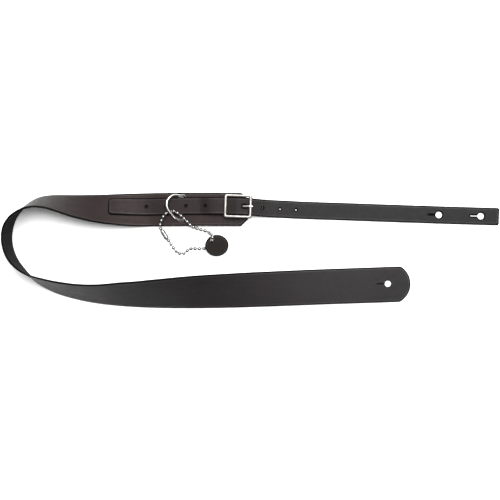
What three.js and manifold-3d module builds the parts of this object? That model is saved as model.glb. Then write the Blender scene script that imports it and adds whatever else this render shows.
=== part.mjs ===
// Leather instrument strap, laid out on a table: a wide shoulder band turned back in one loop, a narrow
// tail strap with its buckle, a wire keeper ring, and a ball chain with a round tag.
// Millimetres. X runs along the strap, Z is up, the table is z = 0, the origin is the middle of the base.
import * as THREE from 'three';
import { mergeVertices } from 'three/addons/utils/BufferGeometryUtils.js';
import Module from 'manifold-3d';

const wasm = await Module();
wasm.setup();

// ---- driving dimensions ----
const GAP = 0.3;
const BAND_WIDTH_FREE = 52;
const BAND_WIDTH_BUCKLE = 48.5;
const BAND_THICK = 2.8;
const BAND_LIFT = 2.9;
const TAIL_WIDTH = 25.6;
const TAIL_THICK = 2.5;
const TAIL_START_X = -214.3;
const TAIL_END_X = 358.6;
const ADJUST_HOLE_R = 2.5;
const BUTTON_HOLE_R = 4.7;
const SLIT_WIDTH = 1.4;
const TAIL_SLIT = 16;
const BAND_CORNER = 9.5;
const WIRE_R = 1.3;
const BEAD_R = 2.38;
const BEAD_PITCH = 6.35;
const LINK_R = 0.65;

// the rounded free end: its chord's middle, half its chord, and how far its arc stands out
const FREE_END = { x: 212.5, y: -49.8, reach: 26.4, sagitta: 16 };
const BAND_BUTTON_HOLE = { x: 195.4, y: -49.5, slit: 17.6, turn: 0.028 };

// cutting tools run from below the lowest leather to above the highest
const CUT_LOW = -1;
const CUT_HIGH = 24;

// the buckle: its middle, its turn about Z, and its frame
const BUCKLE = { x: -24.4, y: 63.7, turn: THREE.MathUtils.degToRad(-2) };
const BAR = { r: 1.2, z: 8.5 };
const FRAME = { halfX: 20.35, halfY: 17.4, openX: 16.1, openY: 13.15, z: 12.4, thick: 2.6, corner: 3.2 };
const CHAPE = { thick: 1.0, halfY: 10.5, left: -43, foldStart: -12 };
const RIVET = { x: -33.5, y: 6, r: 1.5, headR: 4, capR: 3.6, capTop: 0.7 };
const PRONG = { width: 2.6, collarWidth: 3, collarR: 2.5, clearance: 0.35 };

// the keeper ring: the line of its straight bar, and the slope at which its arc rests
const RING = { x: -102.4, z: WIRE_R + 0.15, slope: THREE.MathUtils.degToRad(33), lowY: 43.7, highY: 79.4 };

// the tag: where its hole is, its half sizes, and its lean on the chain
const TAG = { holeX: -62.2, holeY: 14.1, holeR: 3.1, toMiddle: 10.5, halfX: 17.2, halfY: 15.7, thick: 2.4 };
const TAG_HEADING = Math.atan2(-0.745, 0.667);
const TAG_LEAN = THREE.MathUtils.degToRad(12);
const TAG_RIM = 1 / Math.hypot(Math.cos(TAG_HEADING) / TAG.halfX, Math.sin(TAG_HEADING) / TAG.halfY);
const TAG_HALF_THICK = (TAG.thick / 2) * Math.cos(TAG_LEAN);
const TAG_HOLE_Z = (TAG_RIM + TAG.toMiddle) * Math.sin(TAG_LEAN) + TAG_HALF_THICK + 0.1;

// the chain's coupling: a sleeve with drawn-in ends, and how far the end balls' middles are from its own
const COUPLING = { outer: 3.25, inner: 2.72, lip: 1.35, end: 2.2, half: 7.5, endBall: 4.2 };

// ---- materials ----
const leather = (color, roughness) => new THREE.MeshStandardMaterial({ color, roughness, metalness: 0 });
const metal = (color, roughness) => new THREE.MeshStandardMaterial({ color, roughness, metalness: 1 });
const BAND_LEATHER = leather(0x2b2625, 0.55);
const TAIL_LEATHER = leather(0x272423, 0.55);
const TAG_LEATHER = leather(0x2a2420, 0.6);
const NICKEL = metal(0xd8d4cc, 0.2);
const CHAIN_STEEL = metal(0xb9b7b2, 0.3);

// ---- solids ----
function toSolid(geometry) {
  const bare = new THREE.BufferGeometry();
  bare.setAttribute('position', geometry.getAttribute('position').clone());
  if (geometry.index) {
    bare.setIndex(geometry.index.clone());
  }
  const merged = mergeVertices(bare, 1e-4);
  return new wasm.Manifold(new wasm.Mesh({
    numProp: 3,
    vertProperties: new Float32Array(merged.getAttribute('position').array),
    triVerts: new Uint32Array(merged.index.array),
  }));
}

function toGeometry(solid) {
  const mesh = solid.getMesh();
  const geometry = new THREE.BufferGeometry();
  geometry.setAttribute('position', new THREE.BufferAttribute(new Float32Array(mesh.vertProperties), 3));
  geometry.setIndex(new THREE.BufferAttribute(new Uint32Array(mesh.triVerts), 1));
  return geometry;
}

// cut every tool out of a body; bodies and tools are geometries
function cut(body, tools) {
  return toGeometry(tools.reduce((rest, tool) => rest.subtract(toSolid(tool)), toSolid(body)));
}

function join(parts) {
  return toGeometry(parts.slice(1).reduce((sum, part) => sum.add(toSolid(part)), toSolid(parts[0])));
}

// a closed skin over rings of points, with a flat end at both ends unless the rings close on themselves
function skin(rings, closed = false) {
  const count = rings[0].length;
  const positions = rings.flat().flatMap((p) => [p.x, p.y, p.z]);
  const index = [];
  const spans = closed ? rings.length : rings.length - 1;
  for (let i = 0; i < spans; i += 1) {
    const here = i * count;
    const next = ((i + 1) % rings.length) * count;
    for (let j = 0; j < count; j += 1) {
      const k = (j + 1) % count;
      index.push(here + j, next + j, next + k, here + j, next + k, here + k);
    }
  }
  if (!closed) {
    const last = (rings.length - 1) * count;
    for (let j = 1; j < count - 1; j += 1) {
      index.push(0, j, j + 1, last, last + j + 1, last + j);
    }
  }
  const geometry = new THREE.BufferGeometry();
  geometry.setAttribute('position', new THREE.Float32BufferAttribute(positions, 3));
  geometry.setIndex(signedVolume(positions, index) < 0 ? index.reverse() : index);
  return geometry;
}

function signedVolume(positions, index) {
  let volume = 0;
  const [a, b, c] = [new THREE.Vector3(), new THREE.Vector3(), new THREE.Vector3()];
  for (let i = 0; i < index.length; i += 3) {
    a.fromArray(positions, index[i] * 3);
    b.fromArray(positions, index[i + 1] * 3);
    c.fromArray(positions, index[i + 2] * 3);
    volume += a.dot(b.clone().cross(c));
  }
  return volume;
}

function upright(shape, low, high, curveSegments = 12) {
  const depth = high - low;
  const geometry = new THREE.ExtrudeGeometry(shape, { depth, bevelEnabled: false, curveSegments });
  return geometry.translate(0, 0, low);
}

function post(x, y, radius, low, high, sides = 16) {
  const geometry = new THREE.CylinderGeometry(radius, radius, high - low, sides);
  return geometry.rotateX(Math.PI / 2).translate(x, y, (low + high) / 2);
}

function block(x, y, z, sizeX, sizeY, sizeZ) {
  return new THREE.BoxGeometry(sizeX, sizeY, sizeZ).translate(x, y, z);
}

// ---- a ribbon's frame: c runs across the leather to its inner edge, n leaves its grain side ----
function ribbonFrame(position, tangent, roll) {
  const side = new THREE.Vector3().crossVectors(tangent, new THREE.Vector3(0, 0, 1)).normalize();
  const up = new THREE.Vector3().crossVectors(side, tangent).normalize();
  const c = side.clone().multiplyScalar(Math.cos(roll)).addScaledVector(up, Math.sin(roll));
  const n = up.clone().multiplyScalar(Math.cos(roll)).addScaledVector(side, -Math.sin(roll));
  return { position, c, n };
}

// one cross-section of a ribbon, with a few points across each face so that it can twist
function ribbonRing({ position, c, n }, from, to, thick) {
  const at = (across, above) => position.clone().addScaledVector(c, across).addScaledVector(n, above);
  const across = [0, 1, 2, 3].map((i) => THREE.MathUtils.lerp(from, to, i / 3));
  return [...across.map((a) => at(a, 0)), ...across.reverse().map((a) => at(a, thick))];
}

// ---- shoulder band: the line of its outer edge (x, y, z) and its roll in degrees ----
const BAND_LINE = [
  [235, -75.5, 0, 0],
  [110, -79.7, 0, 0],
  [8, -83.2, 0, 8],
  [-80, -84.7, 0, 21],
  [-154, -83.3, 0, 38],
  [-198, -80.4, 0, 48],
  [-228, -76.9, 0, 56],
  [-257, -71.4, 0, 62],
  [-286, -63.1, 0, 67],
  [-303, -55.8, 0, 71],
  [-317, -47.4, 0, 76],
  [-329.4, -36.3, 0, 83],
  [-339.2, -24.9, 0, 87.5],
  [-347.6, -12.8, 0, 89.5],
  [-353.6, 2.4, 0, 90],
  [-355.7, 17.6, 0, 90],
  [-353.8, 33.2, 0, 89.5],
  [-348.4, 47.4, 0, 86],
  [-339.6, 59, 0, 81.5],
  [-328.9, 68.1, 0, 76.5],
  [-315.4, 75.2, 0, 71],
  [-300, 78, 0, 66.5],
  [-285, 78.6, 0, 60.5],
  [-257, 78.9, 0, 46.5],
  [-228, 79.8, 0, 32.5],
  [-198, 81.4, 0, 18.5],
  [-160, 83, 0.7, 2],
  [-122, 83.6, BAND_LIFT, 0],
  [-80, 83.8, BAND_LIFT, 0],
  [-10, 83.4, BAND_LIFT, 0],
];
const BAND_PATH = new THREE.CatmullRomCurve3(BAND_LINE.map(([x, y, z]) => new THREE.Vector3(x, y, z)));
const BAND_ROLL = new THREE.CatmullRomCurve3(
  BAND_LINE.map(([, , , roll], i) => new THREE.Vector3(THREE.MathUtils.degToRad(roll), i, 0)),
);
const BAND_STEPS = 4;
const UPPER_RUN = 20 / (BAND_LINE.length - 1);

function bandFrame(t) {
  const position = BAND_PATH.getPoint(t);
  position.z = Math.max(0, position.z);
  return ribbonFrame(position, BAND_PATH.getTangent(t), Math.max(0, BAND_ROLL.getPoint(t).x));
}

// the frame of the upper run at a given x
function bandFrameAt(x) {
  let low = UPPER_RUN;
  let high = 1;
  for (let i = 0; i < 40; i += 1) {
    const middle = (low + high) / 2;
    if (BAND_PATH.getPoint(middle).x < x) {
      low = middle;
    } else {
      high = middle;
    }
  }
  return bandFrame(low);
}

// a round button hole with a slit that runs from it towards -X
function keyhole(x, y, slitLength, turn) {
  const hole = post(x, y, BUTTON_HOLE_R, CUT_LOW, CUT_HIGH, 24);
  const depth = CUT_HIGH - CUT_LOW;
  const slit = block(-slitLength / 2, 0, CUT_LOW + depth / 2, slitLength, SLIT_WIDTH, depth);
  return join([hole, slit.rotateZ(turn).translate(x, y, 0)]);
}

// what is cut away outside the rounded free end
function freeEndWaste() {
  const { x, y, reach, sagitta } = FREE_END;
  const beyond = 40;
  const radius = (reach * reach + sagitta * sagitta) / (2 * sagitta);
  const half = Math.asin(reach / radius);
  const shape = new THREE.Shape();
  shape.moveTo(x, y - beyond);
  shape.lineTo(x + beyond, y - beyond);
  shape.lineTo(x + beyond, y + beyond);
  shape.lineTo(x, y + beyond);
  shape.lineTo(x, y + reach);
  shape.absarc(x + sagitta - radius, y, radius, half, -half, true);
  return upright(shape, CUT_LOW, CUT_HIGH, 16);
}

// a corner cut off the band's buckle end; signY is 1 for the outer corner
function cornerWaste([x, y], signY) {
  const shape = new THREE.Shape();
  shape.moveTo(x + 1, y + signY);
  shape.lineTo(x + 1, y - signY * BAND_CORNER);
  shape.lineTo(x - BAND_CORNER, y + signY);
  return upright(shape, CUT_LOW, CUT_HIGH);
}

// a slot that lets the ring's wire up through the band and leaves it room to swing
function ringSlot(y, sign) {
  const [length, width] = [10.8, 4.7];
  return block(RING.x + 1 - length / 2, y - sign * 0.35, BAND_LIFT, length, width, 4 * BAND_THICK);
}

function shoulderBand() {
  const stations = (BAND_LINE.length - 1) * BAND_STEPS;
  const rings = [];
  for (let i = 0; i <= stations; i += 1) {
    const t = i / stations;
    const width = THREE.MathUtils.lerp(BAND_WIDTH_FREE, BAND_WIDTH_BUCKLE, t);
    rings.push(ribbonRing(bandFrame(t), 0, width, BAND_THICK));
  }
  const rivetHoles = [-1, 1].map((sign) => buckleSpace(rivetHole(sign)));
  const buckleEnd = BAND_LINE[BAND_LINE.length - 1];
  return cut(skin(rings), [
    freeEndWaste(),
    keyhole(BAND_BUTTON_HOLE.x, BAND_BUTTON_HOLE.y, BAND_BUTTON_HOLE.slit, BAND_BUTTON_HOLE.turn),
    cornerWaste([buckleEnd[0], buckleEnd[1]], 1),
    cornerWaste([buckleEnd[0], buckleEnd[1] - BAND_WIDTH_BUCKLE], -1),
    ringSlot(RING.highY, 1),
    ringSlot(RING.lowY, -1),
    ...rivetHoles,
  ]);
}

// ---- tail strap: where its middle runs (x, y), and the height of its underside off the band ----
const TAIL_LINE = [
  [TAIL_START_X, 61.2],
  [-190, 61.9],
  [-154, 62.9],
  [-110, 64],
  [-80, 64.3],
  [-66, 64.3, 9.0],
  [-58, 64.3, 9.6],
  [-50, 64.3, 9.4],
  [-43, 64.2, 9.1],
  [-34, 64.0, 10.1],
  [-24.4, 63.7, 11.35],
  [-15, 63.3, 10.2],
  [-5, 62.6, 8.2],
  [5, 61.6, 5.7],
  [18, 60.7, 2.7],
  [34, 59.9, 0.7],
  [50, 59.2, 0.1],
  [70, 58.2, 0],
  [140, 55.8, 0],
  [213, 53.2, 0],
  [286, 50.8, 0],
  [TAIL_END_X, 48.7, 0],
];
const TAIL_STEPS = 3;
const TAIL_ON_BAND = 5;
const TAIL_ON_BAND_STEPS = 20;
const TAIL_HOLES = [-158.1, -129.3, -100.4, -71.6, -42.7, -13.8, 11.2, 37.1, 60.6];
const TAIL_BUTTON_HOLES = [270, 331.6];
const TAIL_HEADING = -0.03;
// the prong's lifts in degrees that its hole in the tail strap leaves room for
const PRONG_LIFTS = [-2.5, -1, 0.5, 2, 3.5, 5, 6.5];

// the tail strap's frame where it lies on the band at x
function frameOnBand(x) {
  const { position, c, n } = bandFrameAt(x);
  const across = (position.y - tailMiddleY(x)) / -c.y;
  const middle = position.clone().addScaledVector(c, across).addScaledVector(n, BAND_THICK + 1.5 * GAP);
  return { position: middle, c, n };
}

// frames along the tail strap: first on the band, then off it along a curve of its own
function tailFrames() {
  const frames = [];
  const [start, stop] = [TAIL_LINE[0][0], TAIL_LINE[TAIL_ON_BAND - 1][0]];
  for (let i = 0; i < TAIL_ON_BAND_STEPS; i += 1) {
    frames.push(frameOnBand(THREE.MathUtils.lerp(start, stop, i / TAIL_ON_BAND_STEPS)));
  }
  const lead = [frameOnBand(-95).position, frameOnBand(stop).position];
  const free = TAIL_LINE.slice(TAIL_ON_BAND).map(([x, y, z]) => new THREE.Vector3(x, y, z));
  const path = new THREE.CatmullRomCurve3([...lead, ...free]);
  const stations = free.length * TAIL_STEPS;
  for (let i = 0; i <= stations; i += 1) {
    const t = (1 + (i * free.length) / stations) / (free.length + 1);
    const position = path.getPoint(t);
    position.z = Math.max(0, position.z);
    frames.push(ribbonFrame(position, path.getTangent(t), 0));
  }
  return frames;
}

function tailMiddleY(x) {
  const after = TAIL_LINE.findIndex(([knot]) => knot > x);
  const [[x0, y0], [x1, y1]] = [TAIL_LINE[after - 1], TAIL_LINE[after]];
  return y0 + ((x - x0) / (x1 - x0)) * (y1 - y0);
}

// what is cut away outside two rounded corners of the tail strap's end; sign is -1 for the left end
function endWaste(x, sign, radius) {
  const y = tailMiddleY(x);
  const half = TAIL_WIDTH / 2;
  const beyond = 2;
  const shape = new THREE.Shape();
  shape.moveTo(x + sign * beyond, y - half - beyond);
  shape.lineTo(x + sign * beyond, y + half + beyond);
  shape.lineTo(x - sign * radius, y + half + beyond);
  shape.lineTo(x - sign * radius, y + half);
  shape.quadraticCurveTo(x, y + half, x, y + half - radius);
  shape.lineTo(x, y - half + radius);
  shape.quadraticCurveTo(x, y - half, x - sign * radius, y - half);
  shape.lineTo(x - sign * radius, y - half - beyond);
  return upright(shape, CUT_LOW, CUT_HIGH, 5);
}

function tailStrap() {
  const rings = tailFrames().map((frame) => ribbonRing(frame, -TAIL_WIDTH / 2, TAIL_WIDTH / 2, TAIL_THICK));
  const holes = TAIL_HOLES.map((x) => post(x, tailMiddleY(x), ADJUST_HOLE_R, CUT_LOW, CUT_HIGH, 12));
  const buttonHoles = TAIL_BUTTON_HOLES.map((x) => keyhole(x, tailMiddleY(x), TAIL_SLIT, TAIL_HEADING));
  const prongWay = PRONG_LIFTS.map((lift) => buckleSpace(prongSolid(PRONG.clearance, lift)));
  return cut(skin(rings), [
    ...holes,
    ...buttonHoles,
    endWaste(TAIL_START_X + 0.5, -1, 5),
    endWaste(TAIL_END_X - 0.3, 1, 3),
    ...prongWay,
  ]);
}

// ---- the buckle's pieces are drawn about its middle and then put in place ----
function buckleSpace(geometry) {
  return geometry.rotateZ(BUCKLE.turn).translate(BUCKLE.x, BUCKLE.y, 0);
}

function roundedRectangle(shape, halfX, halfY, radius) {
  shape.moveTo(halfX, -halfY + radius);
  shape.absarc(halfX - radius, halfY - radius, radius, 0, Math.PI / 2, false);
  shape.absarc(-halfX + radius, halfY - radius, radius, Math.PI / 2, Math.PI, false);
  shape.absarc(-halfX + radius, -halfY + radius, radius, Math.PI, 1.5 * Math.PI, false);
  shape.absarc(halfX - radius, -halfY + radius, radius, 1.5 * Math.PI, 2 * Math.PI, false);
  return shape;
}

function buckleFrame() {
  const outline = roundedRectangle(new THREE.Shape(), FRAME.halfX, FRAME.halfY, FRAME.corner);
  outline.holes.push(roundedRectangle(new THREE.Path(), FRAME.openX, FRAME.openY, 1));
  const plate = upright(outline, FRAME.z, FRAME.z + FRAME.thick, 5);
  const lugBottom = BAR.z - BAR.r;
  const lugHeight = FRAME.z + 1 - lugBottom;
  const lugDepth = FRAME.halfY - 0.6 - FRAME.openY;
  const lugMiddle = FRAME.openY + lugDepth / 2;
  const lugs = [-1, 1].map((sign) => (
    block(0, sign * lugMiddle, lugBottom + lugHeight / 2, 3.4, lugDepth, lugHeight)
  ));
  const bar = new THREE.CylinderGeometry(BAR.r, BAR.r, 2 * lugMiddle, 12);
  return buckleSpace(join([plate, ...lugs, bar.translate(0, 0, BAR.z)]));
}

// the prong: a collar round the bar and a tongue that rises over the far side of the frame;
// its outline is drawn in X and Z from the bar's middle, and grow swells it all round
function prongSolid(grow, liftDegrees) {
  const rest = FRAME.z + FRAME.thick + GAP - BAR.z;
  const shape = new THREE.Shape();
  shape.moveTo(1.8, -1.6 - grow);
  shape.lineTo(8, 2.1 - grow);
  shape.lineTo(14.5, 5.7 - grow);
  shape.lineTo(16.3, rest - grow);
  shape.lineTo(22, rest - grow);
  shape.quadraticCurveTo(22.6 + grow, rest + 0.6, 21.6, rest + 1.3 + grow);
  shape.lineTo(18.5, rest + 1.9 + grow);
  shape.lineTo(14.5, 7.9 + grow);
  shape.lineTo(8, 4.4 + grow);
  shape.lineTo(1.4, 2.4 + grow);
  const width = PRONG.width + 2 * grow;
  const tongue = new THREE.ExtrudeGeometry(shape, { depth: width, bevelEnabled: false, curveSegments: 4 });
  const collarR = PRONG.collarR + grow;
  const collar = new THREE.CylinderGeometry(collarR, collarR, PRONG.collarWidth + 2 * grow, 16);
  const solid = join([tongue.translate(0, 0, -width / 2).rotateX(Math.PI / 2), collar]);
  return solid.rotateY(-THREE.MathUtils.degToRad(liftDegrees)).translate(0, 0, BAR.z);
}

function buckleProng() {
  const eye = new THREE.CylinderGeometry(BAR.r + GAP, BAR.r + GAP, 2 * PRONG.collarWidth, 16);
  return buckleSpace(cut(prongSolid(0, 0), [eye.translate(0, 0, BAR.z)]));
}

// the chape: a strip folded round the bar, with a slot for the prong
function buckleChape() {
  const inner = BAR.r + GAP;
  const outer = inner + CHAPE.thick;
  const shape = new THREE.Shape();
  const lowerTop = BAR.z - inner;
  const upperBottom = lowerTop + GAP;
  shape.moveTo(CHAPE.left, BAR.z - outer);
  shape.absarc(0, BAR.z, outer, -Math.PI / 2, Math.PI / 2, false);
  shape.lineTo(-2, BAR.z + outer);
  shape.lineTo(CHAPE.foldStart, upperBottom + CHAPE.thick);
  shape.lineTo(CHAPE.left, upperBottom + CHAPE.thick);
  shape.lineTo(CHAPE.left, upperBottom);
  shape.lineTo(CHAPE.foldStart + 0.3, upperBottom);
  shape.lineTo(-1.6, BAR.z + inner);
  shape.absarc(0, BAR.z, inner, Math.PI / 2, -Math.PI / 2, true);
  shape.lineTo(CHAPE.left, lowerTop);
  const strip = new THREE.ExtrudeGeometry(shape, {
    depth: 2 * CHAPE.halfY,
    bevelEnabled: false,
    curveSegments: 8,
  });
  strip.translate(0, 0, -CHAPE.halfY).rotateX(Math.PI / 2);
  const slot = block(0, 0, BAR.z, 12, PRONG.collarWidth + 4 * GAP, 12);
  return buckleSpace(cut(strip, [slot, rivetHole(-1), rivetHole(1)]));
}

function rivetHole(sign) {
  return post(RIVET.x, sign * RIVET.y, RIVET.r + GAP, CUT_LOW, CUT_HIGH);
}

function lathe(points, segments) {
  const profile = points.map(([r, z]) => new THREE.Vector2(r, z));
  return new THREE.LatheGeometry(profile, segments).rotateX(Math.PI / 2);
}

// the rivet's post: a low domed head under the band, and a shank through band and chape
function rivetPost(sign) {
  const top = BAR.z - BAR.r + CHAPE.thick;
  const geometry = lathe([
    [0, 0],
    [0.6 * RIVET.headR, 0],
    [RIVET.headR, BAND_LIFT / 2],
    [RIVET.headR, BAND_LIFT - GAP],
    [RIVET.r, BAND_LIFT - GAP],
    [RIVET.r, top],
    [0, top],
  ], 16);
  return buckleSpace(geometry.translate(RIVET.x, sign * RIVET.y, 0));
}

function rivetCap(sign) {
  const base = BAR.z - BAR.r + CHAPE.thick + GAP;
  const top = base + RIVET.capTop;
  const geometry = lathe([
    [0, base],
    [RIVET.headR, base],
    [RIVET.capR, top - 0.2],
    [RIVET.headR / 2, top],
    [0, top],
  ], 16);
  return buckleSpace(geometry.translate(RIVET.x, sign * RIVET.y, 0));
}

// ---- keeper ring: a straight bar under the band and a free-formed arc over the tail strap ----
// each point is (distance from the bar seen from above, y)
const RING_ARC = [
  [1.1, RING.highY - 0.6],
  [3.6, RING.highY + 0.1],
  [8.2, 79.7],
  [13.2, 80.3],
  [17.2, 79.0],
  [21.2, 75.7],
  [24.1, 71.4],
  [25.1, 66.6],
  [24.7, 61.8],
  [22.6, 57.4],
  [19.2, 53.2],
  [15.6, 48.6],
  [11.2, 45.5],
  [7.2, 44.2],
  [3.6, RING.lowY - 0.1],
  [1.1, RING.lowY + 0.6],
];
const RING_STEPS = 56;

function keeperRing() {
  const bar = [[0, RING.lowY + 4], [0, (RING.lowY + RING.highY) / 2], [0, RING.highY - 4]];
  const points = [...RING_ARC, ...bar].map(([away, y]) => (
    new THREE.Vector3(RING.x - away, y, RING.z + away * Math.tan(RING.slope))
  ));
  const line = new THREE.CatmullRomCurve3(points, true);
  const normal = new THREE.Vector3(Math.sin(RING.slope), 0, Math.cos(RING.slope));
  const rings = [];
  for (let i = 0; i < RING_STEPS; i += 1) {
    const middle = line.getPointAt(i / RING_STEPS);
    const outward = new THREE.Vector3().crossVectors(line.getTangentAt(i / RING_STEPS), normal).normalize();
    rings.push([0, 1, 2, 3, 4, 5, 6, 7].map((k) => (
      middle.clone()
        .addScaledVector(outward, WIRE_R * Math.cos((k * Math.PI) / 4))
        .addScaledVector(normal, WIRE_R * Math.sin((k * Math.PI) / 4))
    )));
  }
  return skin(rings, true);
}

// ---- tag: an oval disc that leans on the chain, drawn about its hole ----
function leatherTag() {
  const outline = new THREE.Shape();
  const middle = [TAG.toMiddle * Math.cos(TAG_HEADING), TAG.toMiddle * Math.sin(TAG_HEADING)];
  outline.absellipse(middle[0], middle[1], TAG.halfX, TAG.halfY, 0, 2 * Math.PI, false, 0);
  const hole = new THREE.Path();
  hole.absarc(0, 0, TAG.holeR, 0, 2 * Math.PI, true);
  outline.holes.push(hole);
  const disc = upright(outline, -TAG.thick / 2, TAG.thick / 2, 24);
  const axis = new THREE.Vector3(-Math.sin(TAG_HEADING), Math.cos(TAG_HEADING), 0);
  disc.applyMatrix4(new THREE.Matrix4().makeRotationAxis(axis, TAG_LEAN));
  return disc.translate(TAG.holeX, TAG.holeY, TAG_HOLE_Z);
}

// ---- ball chain: a closed loop through the ring and the tag's hole, from the coupling's middle ----
const CHAIN_ROUTE = [
  [-132.0, 22.5, 4.0],
  [-134.4, 26.5, 4.5],
  [-136.9, 30.2, 5.6],
  [-137.9, 34.4, 7.0],
  [-137.6, 38.4, 7.9],
  [-135.9, 43.4, 8.4],
  [-132.6, 49.6, 9.6],
  [-127.4, 54.2, 11.2],
  [-120.8, 56.8, 11.3],
  [-115, 55.2, 11.3],
  [-108.6, 50.8, 11.1],
  [-102.9, 45.6, 9.3],
  [-98.6, 41.4, 8.5],
  [-95.6, 37.8, 8.2],
  [-90.8, 34.0, 7.9],
  [-84.8, 31.8, 4.2],
  [-79.0, 30.0, 2.6],
  [-72.8, 28.2, 2.7],
  [-67.2, 26.2, 4.4],
  [-63.2, 22.6, 8.6],
  [-61.6, 18.9, 11.5],
  [TAG.holeX, TAG.holeY, TAG_HOLE_Z],
  [-65.2, 10.2, 2.5],
  [-69.0, 6.0, 2.4],
  [-73.8, 2.8, 2.4],
  [-80.0, 2.0, 2.4],
  [-85.8, 2.0, 2.4],
  [-92.0, 2.6, 2.4],
  [-96.8, 1.0, 2.4],
  [-101.2, -3.0, 2.4],
  [-107.0, -5.6, 2.4],
  [-112.6, -3.6, 2.4],
  [-117.8, 1.2, 2.4],
  [-121.2, 6.6, 2.4],
  [-124.8, 12.2, 2.6],
  [-129.0, 18.0, 3.45],
];
const HOLE_INDEX = CHAIN_ROUTE.findIndex(([x, y]) => x === TAG.holeX && y === TAG.holeY);
const CHAIN_LINE = new THREE.CatmullRomCurve3(CHAIN_ROUTE.map((p) => new THREE.Vector3(...p)), true);

// the balls' middles, evenly spaced on each side of the ball that sits in the tag's hole
function beadCentres() {
  const samples = 3600;
  const points = CHAIN_LINE.getPoints(samples);
  const lengths = [0];
  for (let i = 1; i <= samples; i += 1) {
    lengths.push(lengths[i - 1] + points[i].distanceTo(points[i - 1]));
  }
  const at = (length) => {
    const after = Math.max(1, lengths.findIndex((value) => value >= length));
    const part = (length - lengths[after - 1]) / (lengths[after] - lengths[after - 1]);
    return points[after - 1].clone().lerp(points[after], part);
  };
  const hole = lengths[Math.round((samples * HOLE_INDEX) / CHAIN_ROUTE.length)];
  const [start, end] = [COUPLING.endBall, lengths[samples] - COUPLING.endBall];
  const before = Math.round((hole - start) / BEAD_PITCH);
  const after = Math.round((end - hole) / BEAD_PITCH);
  const centres = [];
  for (let i = 0; i < before; i += 1) {
    centres.push(at(THREE.MathUtils.lerp(start, hole, i / before)));
  }
  for (let i = 0; i <= after; i += 1) {
    centres.push(at(THREE.MathUtils.lerp(hole, end, i / after)));
  }
  return centres;
}

// a ball, with the link that runs on to the next ball
function bead(centre, next) {
  const profile = [[0, -BEAD_R]];
  const neck = Math.asin(LINK_R / BEAD_R);
  const steps = 5;
  for (let i = 1; i <= steps; i += 1) {
    const angle = -Math.PI / 2 + (i * (Math.PI - neck)) / steps;
    profile.push([BEAD_R * Math.cos(angle), BEAD_R * Math.sin(angle)]);
  }
  if (next) {
    const reach = centre.distanceTo(next) - BEAD_R - GAP;
    profile.push([LINK_R, reach], [0, reach]);
  } else {
    profile.push([0, BEAD_R * Math.cos(neck)]);
  }
  const geometry = new THREE.LatheGeometry(profile.map(([r, z]) => new THREE.Vector2(r, z)), 8);
  const heading = next ? next.clone().sub(centre) : CHAIN_LINE.getTangent(0);
  const turn = new THREE.Quaternion().setFromUnitVectors(new THREE.Vector3(0, 1, 0), heading.normalize());
  return geometry.applyQuaternion(turn).translate(centre.x, centre.y, centre.z);
}

// the coupling's sleeve holds the chain's first and last balls
function chainCoupling(first, last) {
  const { outer, inner, lip, end, half } = COUPLING;
  const profile = [
    [inner, -half + 1.6],
    [lip, -half + 0.4],
    [lip, -half],
    [end, -half],
    [outer, -half + 1.3],
    [outer, half - 1.3],
    [end, half],
    [lip, half],
    [lip, half - 0.4],
    [inner, half - 1.6],
    [inner, -half + 1.6],
  ];
  const sleeve = new THREE.LatheGeometry(profile.map(([r, z]) => new THREE.Vector2(r, z)), 14);
  const heading = first.clone().sub(last).normalize();
  const middle = first.clone().add(last).multiplyScalar(0.5);
  const turn = new THREE.Quaternion().setFromUnitVectors(new THREE.Vector3(0, 1, 0), heading);
  return sleeve.applyQuaternion(turn).translate(middle.x, middle.y, middle.z);
}

// ---- the assembly ----
const strap = new THREE.Group();

function add(name, geometry, material) {
  const mesh = new THREE.Mesh(geometry, material);
  mesh.name = name;
  strap.add(mesh);
}

add('shoulder_band', shoulderBand(), BAND_LEATHER);
add('tail_strap', tailStrap(), TAIL_LEATHER);
add('buckle_frame', buckleFrame(), NICKEL);
add('buckle_prong', buckleProng(), NICKEL);
add('buckle_chape', buckleChape(), BAND_LEATHER);
[-1, 1].forEach((sign, i) => {
  add(`rivet_post_${i + 1}`, rivetPost(sign), NICKEL);
  add(`rivet_cap_${i + 1}`, rivetCap(sign), NICKEL);
});
add('keeper_ring', keeperRing(), NICKEL);
add('leather_tag', leatherTag(), TAG_LEATHER);

const centres = beadCentres();
centres.forEach((centre, i) => {
  add(`bead_${String(i + 1).padStart(2, '0')}`, bead(centre, centres[i + 1]), CHAIN_STEEL);
});
add('chain_coupling', chainCoupling(centres[0], centres[centres.length - 1]), CHAIN_STEEL);

export default strap;
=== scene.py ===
import math

import bmesh
import bpy
import numpy as np
from mathutils import Matrix, Vector, geometry, noise


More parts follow.
